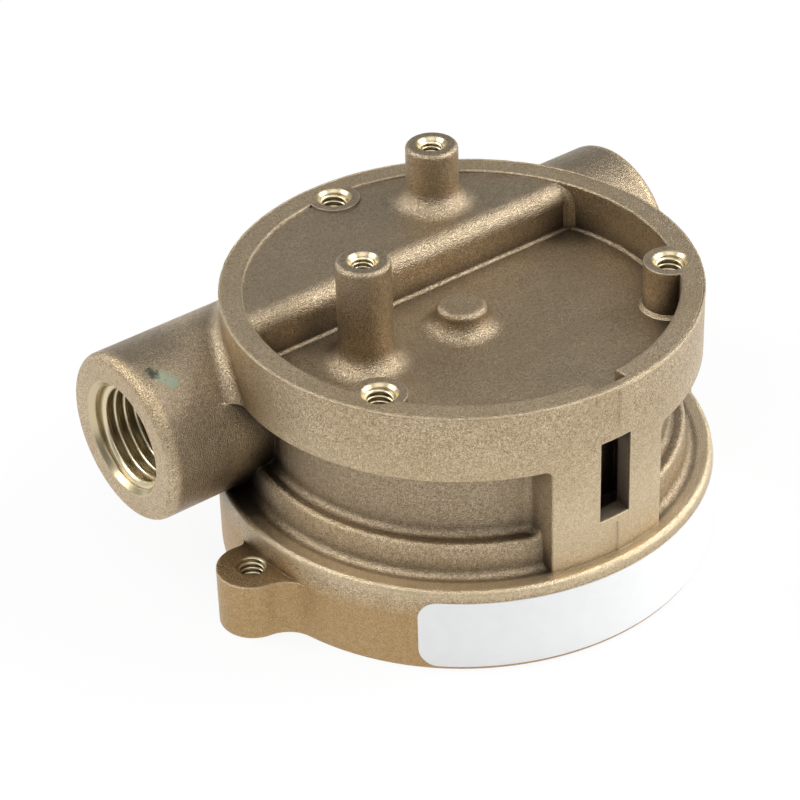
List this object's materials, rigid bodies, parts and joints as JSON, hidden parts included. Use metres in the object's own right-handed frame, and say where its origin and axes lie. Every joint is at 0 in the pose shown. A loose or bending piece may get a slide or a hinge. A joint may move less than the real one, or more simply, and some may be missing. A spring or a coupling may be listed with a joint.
{
  "type": "flow indicator",
  "caption": "In-line rotor flow indicator: cast bronze body with threaded ports, mounting ears, bayonet window and a paddle wheel that spins on a fixed pin.",
  "frame": {"origin": "on the rotor's axis, in the plane of the window flange, which is the face that the part lies on", "axes": "+X along the port axis, from the near port to the far one; +Z along the rotor's axis, out of the back; the cable slot faces -Y and the ports sit towards +Y"},
  "size_m": [0.0768, 0.0603, 0.0415],
  "materials": {
    "cast_bronze": "sand-cast",
    "clear_window": "polished",
    "black_rubber": "matte",
    "orange_plastic": "moulded",
    "magnet": "sintered",
    "white_ceramic": "ground",
    "natural_plastic": "turned",
    "label_film": "satin film"
  },
  "bodies": {
    "casting": {"body_casting": "cast_bronze", "rotor_pin": "white_ceramic", "low_flow_adapter": "natural_plastic", "label": "label_film"},
    "wheel": {"rotor": "orange_plastic", "rotor_magnets": "magnet"},
    "window": {"lens": "clear_window", "lens_o_ring": "black_rubber"}
  },
  "joints": [
    {"name": "rotor_spin", "type": "hinge", "parent": "casting", "child": "wheel", "pos_m": [0, 0, 0.02], "axis": [0, 0, 1], "continuous": true},
    {"name": "lens_twist", "type": "hinge", "parent": "casting", "child": "window", "pos_m": [0, 0, 0.01], "axis": [0, 0, -1], "range_deg": [0, 45]}
  ]
}
